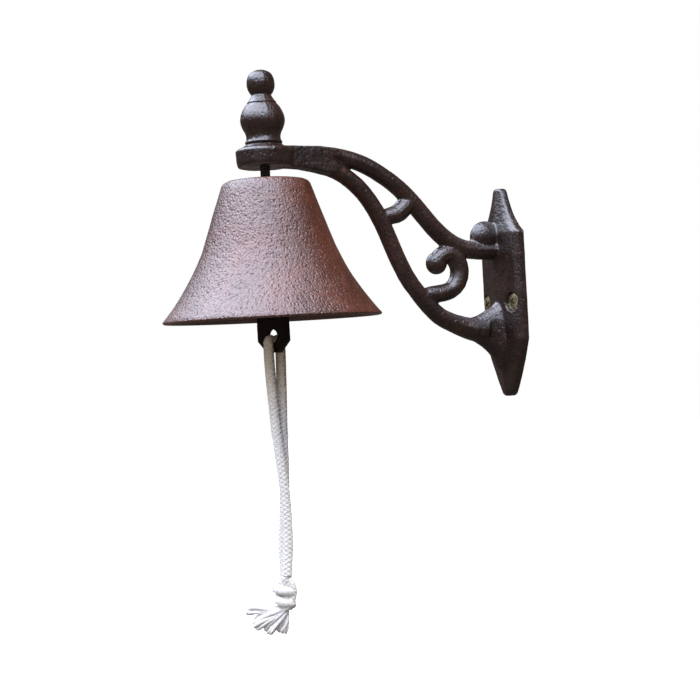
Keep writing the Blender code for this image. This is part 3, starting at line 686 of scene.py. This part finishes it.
def make_bell(material):
    """The bell turned at full fineness, with the slight unevenness of a casting."""
    def wobble(p, r):
        q = p * 55.0
        return Vector((p.x, p.y, 0.0)) / r * (noise.noise(q) * 0.00022 + noise.noise(q * 3.1) * 0.00009)

    verts, faces = lathe(bell_profile(), 200, closed=True, wobble=wobble)
    bell = outward(add("bell_casting", mesh_of("bell_casting", [v + BELL_AXIS for v in verts], faces)))
    bell.data.set_sharp_from_angle(angle=math.radians(50))
    bell.data.materials.append(material)
    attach(bell, "bell")
    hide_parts("bell")


def make_finial(material):
    """Two balls with a groove between them, on a narrow waist and a small bead."""
    base = BOSS_TOP + GAP
    bore = BOLT_R + GAP
    small = [(0.0, 0.1163), (0.0015, 0.11621), (0.0030, 0.1158), (0.0053, 0.1145), (0.0066, 0.1124),
             (0.0071, 0.1100), (0.0069, 0.1072), (0.0060, 0.1049), (0.0050, 0.1036)]
    collar = [(0.0051, 0.1031), (0.0058, 0.1019), (0.0067, 0.1006), (0.0075, 0.0996), (0.0073, 0.0991)]
    big = [(0.0078, 0.0988), (0.0090, 0.0975), (0.0101, 0.0954), (0.0110, 0.0930), (0.01135, 0.0903),
           (0.0109, 0.0880), (0.0101, 0.0860), (0.0094, 0.0848), (0.0090, 0.0838), (0.0087, 0.0826),
           (0.0087, 0.0814), (0.0089, 0.0804)]
    bead = [(0.0092, 0.0801), (0.0095, 0.0795), (0.0094, 0.0790), (0.0092, base)]
    line = []
    for part in (small, collar, big, bead):
        line += fine_profile(part, 4)
    top = BOLT_TOP + 0.0015
    line += [(bore + 0.0002, base), (bore, base + 0.0003), (bore, top), (0.0, top + 0.0012)]

    def wobble(p, r):
        q = p * 160.0
        seam = math.atan2(p.y, p.x) - math.radians(-8.0)
        rib = 0.00014 * math.exp(-(seam / 0.07) ** 2)
        return Vector((p.x, p.y, 0.0)) / r * (noise.noise(q) * 0.00014 + rib) if r > 0.004 else Vector()

    verts, faces = lathe(line, 120, wobble=wobble)
    finial = outward(add("finial", mesh_of("finial", [v + BELL_AXIS for v in verts], faces)))
    finial.data.set_sharp_from_angle(angle=math.radians(55))
    finial.data.materials.append(material)
    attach(finial, "bracket")
    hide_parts("finial_nut")


def make_screws(material):
    """Countersunk cross-head screws with a domed head and a true cross recess."""
    top = SCREW_SEAT + GAP
    for side, node in ((-1, "wall_screw_left"), (1, "wall_screw_right")):
        dome = [(0.0, top + 0.0008), (0.0012, top + 0.00076), (0.0024, top + 0.0006), (0.0038, top + 0.00025),
                (0.0045, top + 0.00002), (SCREW_HEAD_R, top - 0.00018), (SCREW_HEAD_R - 0.0001, top - 0.0004)]
        line = fine_profile(dome, 3)
        line += [(SCREW_SHANK_R, top - SCREW_SINK - 0.0001), (SCREW_SHANK_R, 0.0010),
                 (SCREW_SHANK_R - 0.0004, 0.0004), (0.0, 0.0004)]
        verts, faces = lathe(line, 64)
        head = outward(add(f"screw_{side + 1}", mesh_of("screw", verts, faces)))
        head.matrix_world = Matrix.Translation((side * SCREW_X, 0.0, SCREW_Z)) @ Matrix.Rotation(
            math.radians(28 * side), 4, "Y") @ Matrix.Rotation(math.radians(90), 4, "X")
        bm = bmesh.new()
        for turn in (0, 90):
            blade = Matrix.Rotation(math.radians(turn), 4, "Z") @ Matrix.Translation(
                (0.0, 0.0, top + 0.0004)) @ Matrix.Diagonal((0.0010, 0.0048, 0.0030, 1.0))
            bmesh.ops.create_cube(bm, size=1.0, matrix=blade)
        mesh = bpy.data.meshes.new("cross")
        bm.to_mesh(mesh)
        bm.free()
        cross = add("cross", mesh)
        cross.matrix_world = head.matrix_world.copy()
        cut = head.modifiers.new("Cross", "BOOLEAN")
        cut.operation = "DIFFERENCE"
        cut.solver = "EXACT"
        cut.use_self = True
        cut.object = cross
        baked(head)
        head.data.set_sharp_from_angle(angle=math.radians(30))
        bpy.data.objects.remove(cross, do_unlink=True)
        head.data.materials.append(material)
        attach(head, "bracket")
        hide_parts(node)


def finish_nodes(material, *nodes):
    """A better material on CAD pieces that keep their shape."""
    for node in nodes:
        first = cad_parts[node].material_slots[0]
        first.link = "OBJECT"
        first.material = material


# ---- floor and light ----
def make_floor():
    """A pale disc below the object that doesn't light it or show in its shine."""
    n = Nodes("pale_floor")
    n.done("floor", Base_Color=(0.93, 0.93, 0.93, 1.0), Roughness=0.9, Specular_IOR_Level=0.1,
           Emission_Color=(1.0, 1.0, 1.0, 1.0), Emission_Strength=0.62)
    verts = []
    count = 64
    for k in range(count):
        a = 2 * math.pi * k / count
        verts.append((FLOOR_R * math.cos(a), FLOOR_R * math.sin(a), FLOOR_Z))
    floor = add("floor", mesh_of("floor", verts, [tuple(range(count))]))
    floor.data.materials.append(n.material)
    floor.visible_diffuse = False
    floor.visible_glossy = False


def area_light(name, place, target, size, power, colour):
    data = bpy.data.lights.new(name, "AREA")
    data.shape = "RECTANGLE"
    data.size = size[0]
    data.size_y = size[1]
    data.energy = power
    data.color = colour
    light = bpy.data.objects.new(name, data)
    SCENE.collection.objects.link(light)
    light.location = place
    light.rotation_euler = (Vector(target) - Vector(place)).to_track_quat("-Z", "Y").to_euler()
    return light


def make_world():
    """White to the camera; for light, a soft bright sky high on the left and a dim room elsewhere."""
    world = bpy.data.worlds.new("studio")
    SCENE.world = world
    world.use_nodes = True
    tree = world.node_tree
    nodes = tree.nodes
    nodes.clear()

    def node(kind, **values):
        made = nodes.new(kind)
        for key, value in values.items():
            setattr(made, key, value)
        return made

    coords = node("ShaderNodeTexCoord")
    left = -SIGHT_WAY

    def along(way, low, high):
        dot = node("ShaderNodeVectorMath", operation="DOT_PRODUCT")
        tree.links.new(coords.outputs["Generated"], dot.inputs[0])
        dot.inputs[1].default_value = way
        ramp = node("ShaderNodeMapRange", interpolation_type="SMOOTHSTEP")
        tree.links.new(dot.outputs["Value"], ramp.inputs["Value"])
        ramp.inputs["From Min"].default_value = low
        ramp.inputs["From Max"].default_value = high
        return ramp.outputs["Result"]

    high = along(UP, 0.30, 0.66)
    side = along(left * 0.8 + NEAR_WAY * 0.6, -0.27, 0.02)
    both = node("ShaderNodeMath", operation="MULTIPLY")
    tree.links.new(high, both.inputs[0])
    tree.links.new(side, both.inputs[1])
    sky = node("ShaderNodeMix", data_type="RGBA")
    tree.links.new(both.outputs[0], sky.inputs[0])
    sky.inputs[6].default_value = ROOM
    sky.inputs[7].default_value = SKY
    light = node("ShaderNodeBackground")
    tree.links.new(sky.outputs[2], light.inputs["Color"])
    seen = node("ShaderNodeBackground")
    seen.inputs["Color"].default_value = (1.0, 1.0, 1.0, 1.0)
    pick = node("ShaderNodeMixShader")
    path = node("ShaderNodeLightPath")
    tree.links.new(path.outputs["Is Camera Ray"], pick.inputs[0])
    tree.links.new(light.outputs[0], pick.inputs[1])
    tree.links.new(seen.outputs[0], pick.inputs[2])
    out = node("ShaderNodeOutputWorld")
    tree.links.new(pick.outputs[0], out.inputs["Surface"])


def main():
    make_camera()
    rope = cotton()
    make_rope(rope)
    SCENE.view_settings.view_transform = "Standard"
    make_world()
    make_floor()
    for name, place, size, power, colour in (("front_soft", (1.3, -1.5, 0.2), 1.6, 16.0, (1.0, 0.97, 0.94)),
                                             ("fill_right", (0.5, 0.7, 1.6), 0.8, 38.0, (1.0, 0.84, 0.72))):
        soft = area_light(name, place, (0.0, -0.12, -0.02), (size, size), power, colour)
        soft.visible_glossy = False
    bracket_iron = cast_iron("bracket_iron_paint", (0.010, 0.005, 0.004), (0.024, 0.012, 0.009),
                             (0.060, 0.023, 0.016), 760.0, 0.00024, 0.24, 0.36, 0.70, "bracket_iron", 0.8)
    bell_iron = cast_iron("bell_iron_paint", (0.066, 0.019, 0.010), (0.115, 0.035, 0.020),
                          (0.165, 0.062, 0.040), 880.0, 0.00056, 0.22, 0.34, 0.80, "bell_iron", 1.0)
    tail_iron = cast_iron("clapper_iron_black", (0.006, 0.004, 0.004), (0.014, 0.009, 0.008),
                          (0.028, 0.015, 0.012), 900.0, 0.00016, 0.45, 0.60, 0.35, "clapper_iron")
    steel = dark_steel()
    brass = plated_brass()
    casting_from("wall_bracket", "bracket_casting", 0.00050, 3, "bracket", bracket_iron,
                 [leaf_cutter("leaf_near", 1), leaf_cutter("leaf_far", -1)], 7)
    make_finial(bracket_iron)
    make_bell(bell_iron)
    casting_from("clapper", "clapper_casting", 0.00036, 5, "clapper", tail_iron)
    make_screws(brass)
    finish_nodes(steel, "hanger_eye_bolt", "crown_nut", "lock_nut", "crown_washer", "clapper_link")
    bpy.context.view_layer.update()


main()
